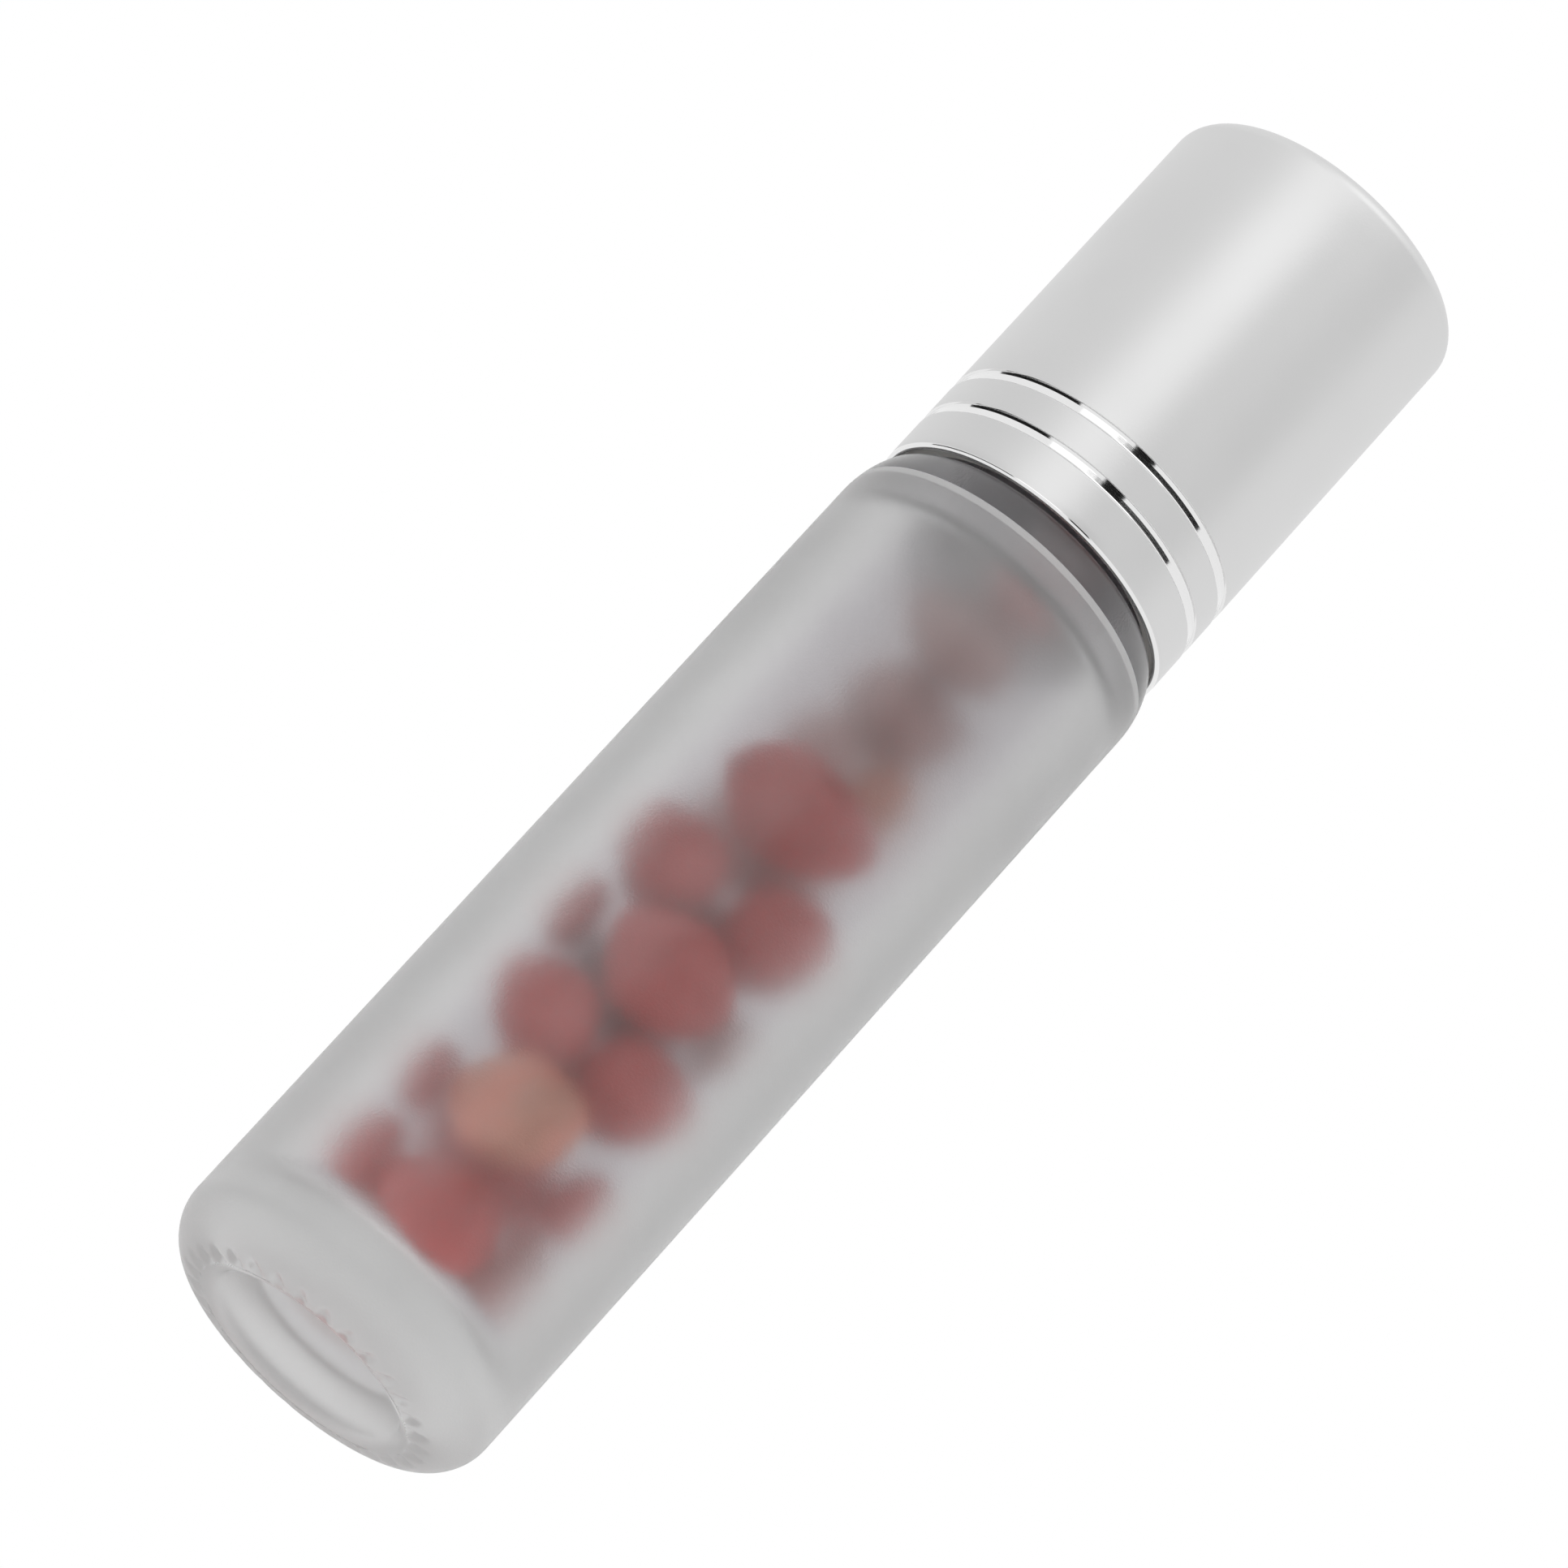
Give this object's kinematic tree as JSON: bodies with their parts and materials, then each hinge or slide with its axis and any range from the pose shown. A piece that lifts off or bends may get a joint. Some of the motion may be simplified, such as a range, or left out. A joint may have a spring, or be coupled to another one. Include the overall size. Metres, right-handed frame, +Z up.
{
  "type": "roll-on bottle",
  "caption": "Small thick-walled frosted glass roll-on bottle with a rolling steel ball, a ringed aluminium screw cap and tumbled stone chips inside.",
  "frame": {"origin": "centre of the base, in the plane that the bottle stands on", "axes": "+Z up the bottle's axis towards the cap; the picture's camera looks along +Y, with +X to its right, in the picture turned upright"},
  "size_m": [0.02, 0.02, 0.0865],
  "materials": {
    "frosted_glass": "acid-etched outside, smooth inside",
    "housing_plastic": "natural, satin",
    "ball_steel": "polished",
    "cap_aluminium": "satin silver anodised, with two bright cut rings",
    "liner_plastic": "natural, satin",
    "wad_foam": "matt foam",
    "agate_red": "tumbled stone",
    "agate_brown": "tumbled stone",
    "agate_salmon": "tumbled stone",
    "agate_orange": "tumbled stone",
    "agate_dark": "tumbled stone"
  },
  "bodies": {
    "bottle": {"bottle": "frosted_glass", "roller_housing": "housing_plastic", "stone_01": "agate_red", "stone_02": "agate_brown", "stone_03": "agate_red", "stone_04": "agate_brown", "stone_05": "agate_salmon", "stone_06": "agate_red", "stone_07": "agate_red", "stone_08": "agate_red", "stone_09": "agate_red", "stone_10": "agate_red", "stone_11": "agate_dark", "stone_12": "agate_red", "stone_13": "agate_dark", "stone_14": "agate_red", "stone_15": "agate_brown", "stone_16": "agate_red", "stone_17": "agate_red", "stone_18": "agate_brown", "stone_19": "agate_red", "stone_20": "agate_brown", "stone_21": "agate_brown", "stone_22": "agate_orange", "stone_23": "agate_brown", "stone_24": "agate_brown", "stone_25": "agate_red"},
    "ball": {"roller_ball": "ball_steel"},
    "wad": {"cap_wad": "wad_foam"},
    "cap": {"cap_shell": "cap_aluminium", "cap_liner": "liner_plastic"}
  },
  "joints": [
    {"name": "ball_roll", "type": "hinge", "parent": "bottle", "child": "ball", "pos_m": [0, 0, 0.07714], "axis": [1, 0, 0], "continuous": true},
    {"name": "cap_lift", "type": "slide", "parent": "bottle", "child": "wad", "axis": [0, 0, 1], "range_m": [0, 0.02401]},
    {"name": "cap_turn", "type": "hinge", "parent": "wad", "child": "cap", "pos_m": [0, 0, 0.0775], "axis": [0, 0, 1], "range_deg": [0, 2880]}
  ],
  "couplings": [
    {"joint": "cap_lift", "follows": "cap_turn", "m_per_rad": 0.00047746}
  ]
}
